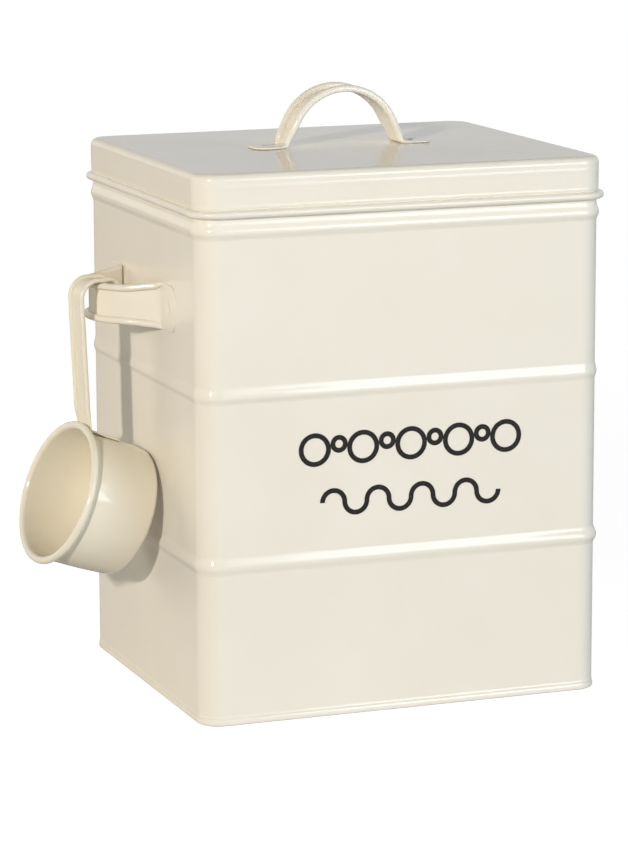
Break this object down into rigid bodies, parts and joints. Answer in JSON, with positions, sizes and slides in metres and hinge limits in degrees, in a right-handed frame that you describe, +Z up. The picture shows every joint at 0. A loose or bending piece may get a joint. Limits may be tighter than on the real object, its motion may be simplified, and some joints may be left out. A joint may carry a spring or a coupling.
{
  "type": "laundry powder tin",
  "caption": "Upright rectangular enamelled tin with a lift-off lid, arched strap handle and a measuring scoop hooked on a side bracket.",
  "frame": {"origin": "centre of the underside, on the face that the tin stands on", "axes": "+Z up, +X to the right along the printed front, +Y to the back; the scoop hangs on the -X wall"},
  "size_m": [0.2505, 0.1694, 0.2727],
  "materials": {
    "enamel": "glossy cream enamel",
    "ink": "matt black print"
  },
  "bodies": {
    "tin": {"body_wall": "enamel", "base_panel": "enamel", "front_print": "ink", "scoop_bracket": "enamel"},
    "lid": {"lid": "enamel", "lid_handle": "enamel"},
    "scoop": {"scoop_cup": "enamel", "scoop_handle": "enamel"}
  },
  "joints": [
    {"name": "lid_lift", "type": "slide", "parent": "tin", "child": "lid", "axis": [0, 0, 1], "range_m": [0, 0.15]},
    {"name": "scoop_unhook", "type": "slide", "parent": "tin", "child": "scoop", "axis": [-0.4496, -0.0632, 0.891], "range_m": [0, 0.16]}
  ]
}
